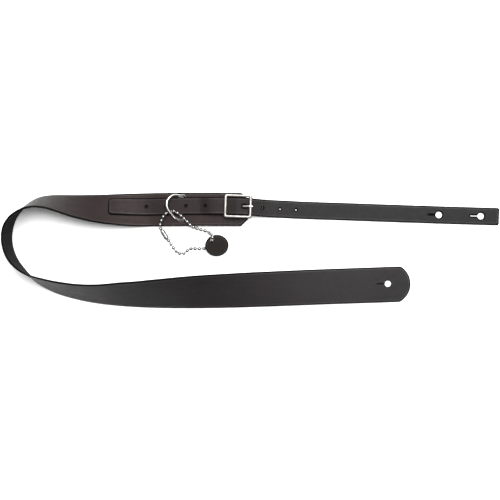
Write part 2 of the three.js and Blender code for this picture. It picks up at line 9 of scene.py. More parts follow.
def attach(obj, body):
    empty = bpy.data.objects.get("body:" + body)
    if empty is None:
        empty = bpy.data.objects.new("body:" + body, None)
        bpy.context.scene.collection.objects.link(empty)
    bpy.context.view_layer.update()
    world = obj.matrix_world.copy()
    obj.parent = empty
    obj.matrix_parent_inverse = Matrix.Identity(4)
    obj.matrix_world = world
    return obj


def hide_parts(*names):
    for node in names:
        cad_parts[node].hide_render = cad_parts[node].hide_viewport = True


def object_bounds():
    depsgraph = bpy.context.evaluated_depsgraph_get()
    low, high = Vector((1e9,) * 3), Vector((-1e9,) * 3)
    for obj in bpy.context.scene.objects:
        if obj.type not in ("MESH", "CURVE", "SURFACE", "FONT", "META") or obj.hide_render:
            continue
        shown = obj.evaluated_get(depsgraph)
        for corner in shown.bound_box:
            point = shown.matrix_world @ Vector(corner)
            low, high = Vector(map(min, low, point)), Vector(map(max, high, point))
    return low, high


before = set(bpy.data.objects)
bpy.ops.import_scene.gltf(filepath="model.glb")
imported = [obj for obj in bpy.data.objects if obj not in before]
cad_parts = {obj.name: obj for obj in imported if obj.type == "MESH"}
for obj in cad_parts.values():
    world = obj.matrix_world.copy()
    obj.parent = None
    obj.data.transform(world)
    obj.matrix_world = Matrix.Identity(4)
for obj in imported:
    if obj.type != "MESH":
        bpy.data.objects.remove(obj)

CAD_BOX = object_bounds()
MM = 0.001

# ---- driving dimensions: the CAD model's, but for ADJUST_HOLE_R and LINK_R ----
# The adjusting holes are 2.5 mm in radius in CAD. Here they are narrow with a wide rounding, as photographed.
GAP = 0.3 * MM
BAND_WIDTH_FREE = 52 * MM
BAND_WIDTH_BUCKLE = 48.5 * MM
BAND_THICK = 2.8 * MM
BAND_LIFT = 2.9  # millimetres, as in the lines of points below
BAND_CORNER = 9.5 * MM
TAIL_WIDTH = 25.6 * MM
TAIL_THICK = 2.5 * MM
ADJUST_HOLE_R = 1.05 * MM
BUTTON_HOLE_R = 4.7 * MM
WIRE_R = 1.3 * MM
BEAD_R = 2.38 * MM
LINK_R = 0.62 * MM
BUCKLE = {"x": -24.4 * MM, "y": 63.7 * MM, "turn": math.radians(-2)}
BAR = {"r": 1.2 * MM, "z": 8.5 * MM}
FRAME = {"half_x": 20.35, "half_y": 17.4, "open_x": 16.1, "open_y": 13.15, "z": 12.4, "thick": 2.6}
CHAPE = {"thick": 1.0, "half_y": 10.5, "left": -43.0, "fold_start": -12.0}
RIVET = {"x": -33.5, "y": 6.0, "r": 1.5}
RING = {"x": -102.4, "z": 1.45, "slope": math.radians(33), "low_y": 43.7, "high_y": 79.4}
TAG = {
    "half_x": 17.2 * MM, "half_y": 15.7 * MM, "thick": 2.4 * MM,
    "to_middle": 10.5 * MM, "hole_r": 3.1 * MM,
}
TAG_HEADING = math.atan2(-0.745, 0.667)
TAG_LEAN = math.radians(12)

# ---- camera, floor and light ----
CAMERA_PLACE = (-0.0069, -0.0002, 1.25)
CAMERA_LENS = 61.3
FLOOR_HALF = 4.0
FLOOR_DROP = 0.1 * MM


def put(name, data):
    """A new object in the scene."""
    made = bpy.data.objects.new(name, data)
    bpy.context.scene.collection.objects.link(made)
    return made


def make_camera():
    data = bpy.data.cameras.new("camera")
    data.lens = CAMERA_LENS
    data.sensor_width = 36
    data.clip_start = 0.05
    data.clip_end = 20
    camera = put("camera", data)
    camera.location = CAMERA_PLACE
    bpy.context.scene.camera = camera


def area_light(name, place, target, size, power):
    data = bpy.data.lights.new(name, "AREA")
    data.shape = "DISK"
    data.size = size
    data.energy = power
    light = put(name, data)
    light.location = place
    light.rotation_euler = (Vector(target) - Vector(place)).to_track_quat("-Z", "Y").to_euler()


def make_sky():
    """A white sky, brighter towards +Y."""
    n = Nodes(bpy.data.worlds.new("studio"), "Background")
    direction = n.add("ShaderNodeTexCoord").outputs["Generated"]
    y = n.add("ShaderNodeSeparateXYZ", Vector=direction).outputs["Y"]
    bpy.context.scene.world = n.finish(Color=(1, 1, 1), Strength=n.ramp(y, -0.5, 0.6, 0.2, 1.15))


def make_floor():
    size = FLOOR_HALF
    z = CAD_BOX[0].z - FLOOR_DROP
    mesh = bpy.data.meshes.new("floor")
    corners = [(-size, -size, z), (size, -size, z), (size, size, z), (-size, size, z)]
    mesh.from_pydata(corners, [], [(0, 1, 2, 3)])
    n = Nodes(bpy.data.materials.new("floor"))
    mesh.materials.append(n.finish(Base_Color=(0.9, 0.9, 0.9), Roughness=0.7, Specular_IOR_Level=0.2))
    put("floor", mesh)


def make_studio():
    bpy.context.scene.view_settings.view_transform = "Standard"
    make_sky()
    area_light("key", (0.1, 1.0, 2.0), (0, 0, 0), 2.0, 105)
    area_light("fill", (0.95, 0.1, 1.9), (0, 0, 0), 1.4, 20)
    area_light("low fill", (-0.3, -2.0, 0.7), (-0.25, 0.05, 0), 0.9, 12)
    make_floor()


# ---- curves ----
def catmull_rom(points, closed=False):
    """The centripetal Catmull-Rom curve through points, as a function of t from 0 to 1."""
    p = np.array(points, float)
    if closed:
        knots = np.vstack([p[-1:], p, p[:2]])
    else:
        knots = np.vstack([2 * p[0] - p[1], p, 2 * p[-1] - p[-2]])
    spans = len(p) if closed else len(p) - 1
    gaps = np.sqrt(np.linalg.norm(np.diff(knots, axis=0), axis=1))

    def at(t):
        u = np.clip(np.asarray(t, float), 0, 1) * spans
        i = np.minimum(u.astype(int), spans - 1)
        w = (u - i)[..., None]
        p0, p1, p2, p3 = (knots[i + k] for k in range(4))
        d0, d1, d2 = (gaps[i + k][..., None] for k in range(3))
        m1 = d1 * ((p1 - p0) / d0 - (p2 - p0) / (d0 + d1) + (p2 - p1) / d1)
        m2 = d1 * ((p2 - p1) / d1 - (p3 - p1) / (d1 + d2) + (p3 - p2) / d2)
        return p1 + m1 * w + (3 * p2 - 3 * p1 - 2 * m1 - m2) * w**2 + (2 * p1 - 2 * p2 + m1 + m2) * w**3

    return at


def unit(v):
    return v / np.maximum(np.linalg.norm(v, axis=-1, keepdims=True), 1e-12)


def along(points):
    """The length run at each point of a line."""
    return np.concatenate([[0], np.cumsum(np.linalg.norm(np.diff(points, axis=0), axis=1))])


def read(where, run, rows):
    """The rows of x, y and z at some lengths, when the run at each row is known."""
    return np.stack([np.interp(where, run, rows[:, k]) for k in range(3)], axis=-1)


def arc(centre, radius, angles):
    """Flat points round a centre at some angles in radians; radius is one number, or one each for x and y."""
    return np.array(centre) + np.array(radius) * np.stack([np.cos(angles), np.sin(angles)], axis=-1)


def evenly(curve, count, closed=False):
    """Points of a curve at even lengths; a closed one doesn't repeat its first point."""
    fine = curve(np.linspace(0, 1, 40 * count))
    run = along(fine)
    where = np.linspace(0, run[-1], count + 1)[:-1] if closed else np.linspace(0, run[-1], count)
    return read(where, run, fine)


# ---- ball chain route, in millimetres: a closed loop from the coupling's middle ----
TAG_RIM = 1 / math.hypot(math.cos(TAG_HEADING) / TAG["half_x"], math.sin(TAG_HEADING) / TAG["half_y"])
TAG_RISE = (TAG_RIM + TAG["to_middle"]) * math.sin(TAG_LEAN)
TAG_HOLE = Vector((-62.2 * MM, 14.1 * MM, TAG_RISE + TAG["thick"] / 2 * math.cos(TAG_LEAN) + 0.1 * MM))
CHAIN_ROUTE = [
    (-132.0, 22.5, 4.0), (-134.4, 26.5, 4.5), (-136.9, 30.2, 5.6), (-137.9, 34.4, 7.0), (-137.6, 38.4, 7.9),
    (-135.9, 43.4, 8.4), (-132.6, 49.6, 9.6), (-127.4, 54.2, 11.2), (-120.8, 56.8, 11.3), (-115, 55.2, 11.3),
    (-108.6, 50.8, 11.1), (-102.9, 45.6, 9.3), (-98.6, 41.4, 8.5), (-95.6, 37.8, 8.2), (-90.8, 34.0, 7.9),
    (-84.8, 31.8, 4.2), (-79.0, 30.0, 2.6), (-72.8, 28.2, 2.7), (-67.2, 26.2, 4.4), (-63.2, 22.6, 8.6),
    (-61.6, 18.9, 11.5), tuple(TAG_HOLE / MM), (-65.2, 10.2, 2.5), (-69.0, 6.0, 2.4), (-73.8, 2.8, 2.4),
    (-80.0, 2.0, 2.4), (-85.8, 2.0, 2.4), (-92.0, 2.6, 2.4), (-96.8, 1.0, 2.4), (-101.2, -3.0, 2.4),
    (-107.0, -5.6, 2.4), (-112.6, -3.6, 2.4), (-117.8, 1.2, 2.4), (-121.2, 6.6, 2.4), (-124.8, 12.2, 2.6),
    (-129.0, 18.0, 3.45),
]
HOLE_POINT = 21  # the route's point in the tag's hole, where a ball sits
COUPLING_END = 4.2 * MM  # from the coupling's middle to the chain's end ball
BEAD_PITCH = 6.35 * MM
BEADS = sorted(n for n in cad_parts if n.startswith("bead_"))


def bead_centres():
    """The balls' middles: evenly spaced on each side of the ball in the tag's hole, as in the CAD model."""
    steps = 3600
    fine = catmull_rom(np.array(CHAIN_ROUTE) * MM, closed=True)(np.linspace(0, 1, steps + 1))
    run = along(fine)
    hole = run[round(steps * HOLE_POINT / len(CHAIN_ROUTE))]
    before = round((hole - COUPLING_END) / BEAD_PITCH)
    after = round((run[-1] - COUPLING_END - hole) / BEAD_PITCH)
    where = np.concatenate([
        np.linspace(COUPLING_END, hole, before + 1)[:-1],
        np.linspace(hole, run[-1] - COUPLING_END, after + 1),
    ])
    return read(where, run, fine)


# ---- meshes ----
def new_piece(name, vertices, faces, materials, kinds=None):
    mesh = bpy.data.meshes.new(name)
    mesh.from_pydata([tuple(v) for v in vertices], [], faces)
    mesh.update()
    for material in materials:
        mesh.materials.append(material)
    if kinds is not None:
        mesh.polygons.foreach_set("material_index", kinds)
    mesh.polygons.foreach_set("use_smooth", [True] * len(mesh.polygons))
    outward(mesh)
    return put(name, mesh)


def outward(mesh):
    """Turns a closed mesh's faces so that they all look out."""
    b = bmesh.new()
    b.from_mesh(mesh)
    bmesh.ops.recalc_face_normals(b, faces=b.faces)
    b.to_mesh(mesh)
    b.free()


def weigh_normals(piece):
    modifier = piece.modifiers.new("weighted", "WEIGHTED_NORMAL")
    modifier.mode = "FACE_AREA"
    modifier.weight = 60
    return piece


def quads(here, there, count):
    """The faces between two rings of count vertices that start at here and there."""
    steps = [(j, (j + 1) % count) for j in range(count)]
    return [(here + j, here + k, there + k, there + j) for j, k in steps]


def strips(rings, count, closed):
    """Quads between rings of count vertices, the rings numbered one after another."""
    faces = []
    for i in range(rings if closed else rings - 1):
        faces += quads(i * count, ((i + 1) % rings) * count, count)
    return faces


def sweep(name, line, wide, high, up, material, sides=20, closed=False):
    """A rod along a line; wide and high are its half sizes, one number or one for each point."""
    line = np.array(line, float)
    n = len(line)
    tangent = unit(np.roll(line, -1, 0) - np.roll(line, 1, 0)) if closed else unit(np.gradient(line, axis=0))
    up = np.broadcast_to(np.array(up, float), (n, 3))
    side = unit(np.cross(tangent, up))
    top = unit(np.cross(side, tangent))
    wide = np.broadcast_to(np.array(wide, float), (n,))
    high = np.broadcast_to(np.array(high, float), (n,))
    rows = [(line[i], side[i], top[i], wide[i], high[i]) for i in range(n)]
    if not closed:
        first, last = rows[0], rows[-1]
        for angle in (30, 60, 80):
            out, keep = math.sin(math.radians(angle)), math.cos(math.radians(angle))
            start = first[0] - tangent[0] * out * first[4]
            stop = last[0] + tangent[-1] * out * last[4]
            rows.insert(0, (start, first[1], first[2], first[3] * keep, first[4] * keep))
            rows.append((stop, last[1], last[2], last[3] * keep, last[4] * keep))
    angles = np.linspace(0, 2 * math.pi, sides, endpoint=False)
    vertices = np.concatenate([
        p + np.outer(np.cos(angles) * w, s) + np.outer(np.sin(angles) * h, t) for p, s, t, w, h in rows
    ])
    faces = strips(len(rows), sides, closed)
    if not closed:
        faces += [tuple(range(sides)), tuple(range(len(vertices) - sides, len(vertices)))]
    return new_piece(name, vertices, faces, [material])


def lathe_mesh(profile, segments, matrix):
    """A turned solid's vertices and faces; its (radius, height) profile starts and ends on the axis."""
    vertices = [matrix @ Vector((0, 0, profile[0][1]))]
    for r, z in profile[1:-1]:
        for k in range(segments):
            angle = 2 * math.pi * k / segments
            vertices.append(matrix @ Vector((r * math.cos(angle), r * math.sin(angle), z)))
    vertices.append(matrix @ Vector((0, 0, profile[-1][1])))
    last = len(vertices) - 1
    faces = [(0, 1 + (k + 1) % segments, 1 + k) for k in range(segments)]
    for i in range(len(profile) - 3):
        faces += quads(1 + i * segments, 1 + (i + 1) * segments, segments)
    base = last - segments
    faces += [(last, base + k, base + (k + 1) % segments) for k in range(segments)]
    return vertices, faces


def join_shells(shells):
    vertices, faces = [], []
    for shell_vertices, shell_faces in shells:
        faces += [tuple(i + len(vertices) for i in face) for face in shell_faces]
        vertices += list(shell_vertices)
    return vertices, faces


def fuse(piece, *others):
    """Joins the other pieces into this one as one solid."""
    for other in others:
        modifier = piece.modifiers.new("fuse", "BOOLEAN")
        modifier.operation = "UNION"
        modifier.solver = "EXACT"
        modifier.object = other
        graph = bpy.context.evaluated_depsgraph_get()
        piece.data = bpy.data.meshes.new_from_object(piece.evaluated_get(graph))
        piece.modifiers.clear()
        bpy.data.objects.remove(other)
    return piece


# ---- flat leather patterns ----
class Ribbon:
    """Where a strap's leather runs: a line, c across the leather from it, n out of its grain side."""

    def __init__(self, line, c, n, middle):
        self.line, self.c, self.n = line, c, n
        self.s = along(line + c * middle[:, None])
        self.tangent = unit(np.gradient(line, axis=0))

    def place(self, s, a, h):
        line, c, n = (read(s, self.s, rows) for rows in (self.line, self.c, self.n))
        return line + unit(c) * a[:, None] + unit(n) * h[:, None]

    def flat(self, x, y, first=0.0, last=1e9):
        """(s, a) of the leather at x, y, looked for from s = first to s = last."""
        reach = 80 * MM
        stretch = np.where((self.s >= first) & (self.s <= last))[0]
        line, tangent, c = self.line[stretch], self.tangent[stretch], self.c[stretch]
        ahead = (x - line[:, 0]) * tangent[:, 0] + (y - line[:, 1]) * tangent[:, 1]
        away = np.hypot(x - line[:, 0], y - line[:, 1])
        i = int(np.argmin(np.where(away < reach, np.abs(ahead), 1.0)))
        s = self.s[stretch][i] + ahead[i]
        flat_c = c[i, :2]
        a = ((x - line[i, 0]) * flat_c[0] + (y - line[i, 1]) * flat_c[1]) / (flat_c @ flat_c)
        return np.array([s, a])


def ribbon_frames(line, tangent, roll):
    side = unit(np.cross(tangent, (0, 0, 1)))
    up = unit(np.cross(side, tangent))
    cos, sin = np.cos(roll)[:, None], np.sin(roll)[:, None]
    return cos * side + sin * up, cos * up - sin * side


def offset(loop, distance):
    """A loop moved to its left by a distance, with mitred corners."""
    edge = unit(np.roll(loop, -1, 0) - loop)
    left = np.stack([-edge[:, 1], edge[:, 0]], axis=1)
    before = np.roll(left, 1, 0)
    mitre = (left + before) / np.maximum(1 + np.sum(left * before, axis=1), 0.35)[:, None]
    return loop + mitre * distance


def inside(points, loops):
    """Whether each point is inside the loops, by the even-odd rule."""
    x, y = points[:, 0], points[:, 1]
    odd = np.zeros(len(points), bool)
    for loop in loops:
        for (x0, y0), (x1, y1) in zip(loop, np.roll(loop, -1, 0)):
            if y0 == y1:
                continue
            crosses = (y0 > y) != (y1 > y)
            odd ^= crosses & (x < (x1 - x0) * (y - y0) / (y1 - y0) + x0)
    return odd


def anticlockwise(loop):
    x, y = loop[:, 0], loop[:, 1]
    area = np.sum(x * np.roll(y, -1) - np.roll(x, -1) * y)
    return loop if area > 0 else loop[::-1]


def as_hole(loop):
    return anticlockwise(loop)[::-1]


def distance_to(points, loops):
    """How far each point is from the nearest side of the loops."""
    sides = [(here, there) for loop in loops for here, there in zip(loop, np.roll(loop, -1, 0))]
    best = np.full(len(points), 1e9)
    for here, there in sides:
        side = there - here
        t = np.clip((points - here) @ side / max(side @ side, 1e-18), 0, 1)
        best = np.minimum(best, np.linalg.norm(points - here - t[:, None] * side, axis=1))
    return best


def fill_flat(loops, grid):
    """Triangles over the flat space inside the loops, and the points of a grid added between them."""
    outline = loops[0]
    low, high = outline.min(0), outline.max(0)
    columns = np.arange(low[0] + grid / 2, high[0], grid)
    s, a = np.meshgrid(columns, np.arange(low[1] + grid / 2, high[1], grid))
    s[1::2] += grid / 2
    points = np.stack([s.ravel(), a.ravel()], axis=1)
    points = points[inside(points, loops)]
    points = points[distance_to(points, loops) > 0.62 * grid]
    rim = np.concatenate(loops)
    everything = np.concatenate([rim, points])
    edges, start = [], 0
    for loop in loops:
        edges += [(start + i, start + (i + 1) % len(loop)) for i in range(len(loop))]
        start += len(loop)
    found = geometry.delaunay_2d_cdt([Vector(p) for p in everything], edges, [], 0, 1e-9)
    source = [ids[0] if ids else -1 for ids in found[3]]
    triangles = np.array([[source[v] for v in face] for face in found[2]])
    centres = everything[triangles].mean(axis=1)
    return points, triangles[inside(centres, loops)]


QUARTER = [(1 - math.cos(math.radians(d)), 1 - math.sin(math.radians(d))) for d in (0, 25, 50, 70, 90)]


def leather(name, outline, holes, ribbon, thick, materials, round_top, round_under, grid,
            shape=None, wave=0.03 * MM, hole_round=0.55 * MM):
    """A cut piece laid along its ribbon, its edges rounded off; a hole is a function of its widening."""
    GRAIN, EDGE, FLESH = 0, 1, 2
    outline = anticlockwise(outline)
    boundaries = [(lambda inwards: offset(outline, inwards), round_top, 0.3 * MM)]
    boundaries += [(hole, hole_round, 0.25 * MM) for hole in holes]
    rows, faces, kinds = [], [], []

    def add_ring(points, h, rim):
        start = len(rows)
        rows.extend((p[0], p[1], h, rim) for p in points)
        return start

    def bridge(here, there, kind):
        faces.extend(quads(here, there, count))
        kinds.extend([kind] * count)

    def round_over(wall, size, height, kind, ids):
        """Rings from the wall's ring round on to the flat face, whose rim's vertices join ids."""
        for i, d in QUARTER[1:]:
            ring = add_ring(loop(size * i), height(size * d), 1.0)
            bridge(wall, ring, EDGE)
            wall = ring
        ring = add_ring(loop(inset), height(0.0), 0.0)
        bridge(wall, ring, kind)
        ids += range(ring, ring + count)

    inner_loops, top_ids, under_ids = [], [], []
    for loop, round_off, margin in boundaries:
        low = min(round_under, round_off)
        inset = round_off + margin
        count = len(loop(0.0))
        lower = add_ring(loop(0.0), low, 1.0)
        round_over(lower, low, lambda z: z, FLESH, under_ids)
        upper = add_ring(loop(0.0), thick - round_off, 1.0)
        bridge(lower, upper, EDGE)
        round_over(upper, round_off, lambda z: thick - z, GRAIN, top_ids)
        inner_loops.append(loop(inset))
    points, triangles = fill_flat(inner_loops, grid)
    to_rim = distance_to(points, inner_loops)
    calm = np.clip(to_rim / (6 * MM), 0, 1)
    swell = [noise.noise(Vector((p[0] * 25, p[1] * 60, 3.7))) * wave for p in points] * calm
    first = len(rows)
    rows += [(p[0], p[1], thick + w, 0.0) for p, w in zip(points, swell)]
    top_ids += range(first, len(rows))
    first = len(rows)
    rows += [(p[0], p[1], 0.0, 0.0) for p in points]
    under_ids += range(first, len(rows))
    for triangle in triangles:
        faces.append(tuple(top_ids[v] for v in triangle))
        faces.append(tuple(under_ids[v] for v in triangle))
        kinds += [GRAIN, FLESH]
    rows = np.array(rows)
    flat = rows.copy()
    if shape:
        rows = shape(rows)
    vertices = ribbon.place(rows[:, 0], rows[:, 1], rows[:, 2])
    piece = new_piece(name, vertices, faces, materials, kinds)
    mesh = piece.data
    mesh.attributes.new("rim", "FLOAT", "POINT").data.foreach_set("value", flat[:, 3])
    border = distance_to(flat[:, :2], [outline])
    mesh.attributes.new("border", "FLOAT", "POINT").data.foreach_set("value", border)
    uv = mesh.uv_layers.new(name="flat")
    corner = np.zeros(len(mesh.loops), int)
    mesh.loops.foreach_get("vertex_index", corner)
    uv.data.foreach_set("uv", flat[corner, :2].ravel())
    return weigh_normals(piece)


def round_hole(centre, radius, count=28):
    angles = np.linspace(0, 2 * math.pi, count, endpoint=False)
    return lambda wider: as_hole(arc(centre, radius + wider, angles))


def oval_slot(centre, length, width, count=10):
    """A slot with round ends along the leather: its whole length and width."""
    right = np.linspace(-math.pi / 2, math.pi / 2, count)
    half = (length - width) / 2

    def loop(wider):
        r = width / 2 + wider
        ends = [arc((half, 0), r, right), arc((-half, 0), r, right + math.pi)]
        return as_hole(np.array(centre) + np.concatenate(ends))

    return loop


def keyhole(centre, toward, slit_length, slit_width):
    """A round button hole with a slit; toward is the slit's direction in the flat leather."""
    heading = math.atan2(toward[1], toward[0])
    turn = np.array([[math.cos(heading), math.sin(heading)], [-math.sin(heading), math.cos(heading)]])

    def loop(wider):
        r = BUTTON_HOLE_R + wider
        half = slit_width / 2 + wider
        mouth = math.asin(half / r)
        points = list(arc((0, 0), r, np.linspace(mouth, 2 * math.pi - mouth, 40)))
        start = r * math.cos(mouth)
        tip = slit_length - slit_width / 2
        points += [(x, -half) for x in np.linspace(start, tip, 12)[1:]]
        points += list(arc((tip, 0), half, np.radians(np.linspace(-60, 60, 5))))
        points += [(x, half) for x in np.linspace(tip, start, 12)[:-1]]
        return as_hole(np.array(centre) + np.array(points) @ turn)

    return loop


def edge_points(start, stop, step):
    """Points from start up to, and without, stop."""
    count = max(1, round(float(np.linalg.norm(np.array(stop) - np.array(start))) / step))
    return [np.array(start) + (np.array(stop) - np.array(start)) * i / count for i in range(count)]


def edge_line(corners, step):
    """Points along straight edges from corner to corner, without the last corner."""
    points = []
    for here, there in zip(corners, corners[1:]):
        points += edge_points(here, there, step)
    return points


# ---- shoulder band: its outer edge (x, y, z) in millimetres and its roll in degrees ----
BAND_LINE = [
    (235, -75.5, 0, 0), (110, -79.7, 0, 0), (8, -83.2, 0, 8), (-80, -84.7, 0, 21), (-154, -83.3, 0, 38),
    (-198, -80.4, 0, 48), (-228, -76.9, 0, 56), (-257, -71.4, 0, 62), (-286, -63.1, 0, 67),
    (-303, -55.8, 0, 71), (-317, -47.4, 0, 76), (-329.4, -36.3, 0, 83), (-339.2, -24.9, 0, 87.5),
    (-347.6, -12.8, 0, 89.5), (-353.6, 2.4, 0, 90), (-355.7, 17.6, 0, 90), (-353.8, 33.2, 0, 89.5),
    (-348.4, 47.4, 0, 86), (-339.6, 59, 0, 81.5), (-328.9, 68.1, 0, 76.5), (-315.4, 75.2, 0, 71),
    (-300, 78, 0, 66.5), (-285, 78.6, 0, 60.5), (-257, 78.9, 0, 46.5), (-228, 79.8, 0, 32.5),
    (-198, 81.4, 0, 18.5), (-160, 83, 0.7, 2), (-122, 83.6, BAND_LIFT, 0), (-80, 83.8, BAND_LIFT, 0),
    (-10, 83.4, BAND_LIFT, 0),
]
FREE_END = {"x": 212.5 * MM, "y": -49.8 * MM, "reach": 26.4 * MM, "sagitta": 16 * MM}
BAND_BUTTON_HOLE = {"centre": (195.4 * MM, -49.5 * MM), "toward": (185 * MM, -49.7 * MM), "slit": 17 * MM}
CLOSED_SLIT = 0.15 * MM
RING_SLOT = {"length": 10.6 * MM, "width": 4.6 * MM, "back": 4.4, "inward": 0.35}


def band_ribbon():
    t = np.linspace(0, 1, 1601)
    line = catmull_rom([knot[:3] for knot in BAND_LINE])(t) * MM
    line[:, 2] = np.maximum(line[:, 2], 0)
    turns = [(math.radians(knot[3]), i, 0) for i, knot in enumerate(BAND_LINE)]
    roll = np.maximum(catmull_rom(turns)(t)[:, 0], 0)
    c, n = ribbon_frames(line, unit(np.gradient(line, axis=0)), roll)
    width = BAND_WIDTH_FREE + (BAND_WIDTH_BUCKLE - BAND_WIDTH_FREE) * t
    ribbon = Ribbon(line, c, n, width / 2)
    ribbon.width = width
    return ribbon


def buckle_place(x, y):
    """A point of the buckle's own plane, in millimetres from its middle, in the frame's metres."""
    cos, sin = math.cos(BUCKLE["turn"]), math.sin(BUCKLE["turn"])
    return BUCKLE["x"] + (x * cos - y * sin) * MM, BUCKLE["y"] + (x * sin + y * cos) * MM


def shoulder_band(ribbon, materials):
    end = ribbon.s[-1]
    half_way = end / 2
    reach, sagitta = FREE_END["reach"], FREE_END["sagitta"]
    radius = (reach**2 + sagitta**2) / (2 * sagitta)
    half = math.asin(reach / radius)
    centre = (FREE_END["x"] + sagitta - radius, FREE_END["y"])
    free_end = [ribbon.flat(x, y, 0, half_way) for x, y in arc(centre, radius, np.linspace(half, -half, 25))]
    free_end = [p for p in free_end if 0 <= p[1] <= BAND_WIDTH_FREE]
    at_outer = free_end[-1][0]
    at_inner = free_end[0][0]
    width = lambda s: float(np.interp(s, ribbon.s, ribbon.width))
    step = 2.5 * MM
    inner_edge = [
        np.array((s, width(s))) for s in np.arange(end - BAND_CORNER, at_inner + 1 * MM, -step)
    ]
    corners = [(at_outer + 1 * MM, 0), (end - BAND_CORNER, 0), (end, BAND_CORNER)]
    corners += [(end, width(end) - BAND_CORNER), inner_edge[0]]
    outline = edge_line(corners, step) + inner_edge + free_end
    button = ribbon.flat(*BAND_BUTTON_HOLE["centre"], 0, half_way)
    slit_end = ribbon.flat(*BAND_BUTTON_HOLE["toward"], 0, half_way)
    holes = [keyhole(button, slit_end - button, BAND_BUTTON_HOLE["slit"], CLOSED_SLIT)]
    for sign, y in ((1, RING["high_y"]), (-1, RING["low_y"])):
        x = (RING["x"] - RING_SLOT["back"]) * MM
        middle = ribbon.flat(x, (y - sign * RING_SLOT["inward"]) * MM, half_way)
        holes.append(oval_slot(middle, RING_SLOT["length"], RING_SLOT["width"]))
    for sign in (-1, 1):
        x, y = buckle_place(RIVET["x"], sign * RIVET["y"])
        holes.append(round_hole(ribbon.flat(x, y, half_way), RIVET["r"] * MM + GAP, 20))
    return leather("band_leather", np.array(outline), holes, ribbon, BAND_THICK, materials,
                   1.0 * MM, 0.45 * MM, 3.0 * MM, hole_round=0.75 * MM)


# ---- tail strap: its middle line (x, y) on the band, then (x, y, z of its underside) off it ----
TAIL_ON_BAND = [(-214.3, 61.2), (-190, 61.9), (-154, 62.9), (-110, 64), (-80, 64.3)]
TAIL_FREE = [
    (-66, 64.3, 9.0), (-58, 64.3, 9.6), (-50, 64.3, 9.4), (-43, 64.2, 9.1), (-34, 64.0, 10.1),
    (-24.4, 63.7, 11.35), (-15, 63.3, 10.2), (-5, 62.6, 8.2), (5, 61.6, 5.7), (18, 60.7, 2.7),
    (34, 59.9, 0.7), (50, 59.2, 0.1), (70, 58.2, 0), (140, 55.8, 0), (213, 53.2, 0), (286, 50.8, 0),
    (358.6, 48.7, 0),
]
TAIL_HOLES = [-158.1, -129.3, -100.4, -71.6, -42.7, 11.2, 37.1, 60.6]
PRONG_HOLE = -14.9
TAIL_SLIT = 15.6 * MM
TAIL_BUTTON_HOLES = [(270, CLOSED_SLIT), (331.6, 1.2 * MM)]  # x in millimetres, and the slit's width
PRONG_SLOT = {"length": 7.4 * MM, "width": 4.8 * MM, "slant": 4.6 * MM}


def tail_middle(x):
    knots = np.array([knot[:2] for knot in TAIL_ON_BAND + TAIL_FREE])
    return np.interp(x, knots[:, 0], knots[:, 1])


def tail_ribbon(band):
    """On the band the tail takes the band's own frames, lifted by its thickness; then it runs free."""
    upper = band.s > band.s[-1] * 0.6
    line, c, n = band.line[upper], band.c[upper], band.n[upper]

    def on_band(x):
        p, across, out = (read(x * MM, line[:, 0], rows) for rows in (line, c, n))
        across, out = unit(across), unit(out)
        a = (p[..., 1] - tail_middle(x) * MM) / -across[..., 1]
        return p + across * a[..., None] + out * (BAND_THICK + 1.5 * GAP), across, out

    x = np.linspace(TAIL_ON_BAND[0][0], TAIL_ON_BAND[-1][0], 121)[:-1]
    laid = on_band(x)
    lead = [on_band(np.array(-95.0))[0], on_band(np.array(-80.0))[0]]
    path = catmull_rom([*lead, *(np.array(TAIL_FREE) * MM)])
    spans = len(TAIL_FREE) + 1
    free = path(np.linspace(1 / spans, 1, 900))
    free[:, 2] = np.maximum(free[:, 2], 0)
    free_c, free_n = ribbon_frames(free, unit(np.gradient(free, axis=0)), np.zeros(len(free)))
    line = np.concatenate([laid[0], free])
    c, n = np.concatenate([laid[1], free_c]), np.concatenate([laid[2], free_n])
    return Ribbon(line, c, n, np.zeros(len(line)))


def tail_strap(ribbon, materials):
    half = TAIL_WIDTH / 2
    start, end = 0.5 * MM, ribbon.s[-1] - 0.3 * MM
    corner_left, corner_right = 5 * MM, 3 * MM
    step = 2.2 * MM

    def corner(centre, radius, first):
        return list(arc(centre, radius, np.radians(np.linspace(first, first + 90, 8))))

    outline = corner((start + corner_left, -half + corner_left), corner_left, 180)
    outline += edge_points((start + corner_left + step, -half), (end - corner_right - step, -half), step)
    outline += corner((end - corner_right, -half + corner_right), corner_right, 270)
    outline += corner((end - corner_right, half - corner_right), corner_right, 0)
    outline += edge_points((end - corner_right - step, half), (start + corner_left + step, half), step)
    outline += corner((start + corner_left, half - corner_left), corner_left, 90)
    holes = [round_hole(ribbon.flat(x * MM, tail_middle(x) * MM), ADJUST_HOLE_R, 28) for x in TAIL_HOLES]
    for x, slit_width in TAIL_BUTTON_HOLES:
        centre = ribbon.flat(x * MM, tail_middle(x) * MM)
        holes.append(keyhole(centre, (-1, 0), TAIL_SLIT, slit_width))
    prong = ribbon.flat(PRONG_HOLE * MM, tail_middle(PRONG_HOLE) * MM)
    holes.append(oval_slot(prong, PRONG_SLOT["length"], PRONG_SLOT["width"]))

    def slant(rows):
        """Round the prong the leather's underside is drawn back towards the bar."""
        reach = np.hypot(rows[:, 0] - prong[0], rows[:, 1] - prong[1])
        near = np.clip(1 - (reach - 3 * MM) / (9 * MM), 0, 1)
        rows[:, 0] -= PRONG_SLOT["slant"] * near * near * (3 - 2 * near) * (1 - rows[:, 2] / TAIL_THICK)
        return rows

    return leather("tail_leather", np.array(outline), holes, ribbon, TAIL_THICK, materials,
                   0.9 * MM, 0.4 * MM, 2.6 * MM, shape=slant, hole_round=1.7 * MM)


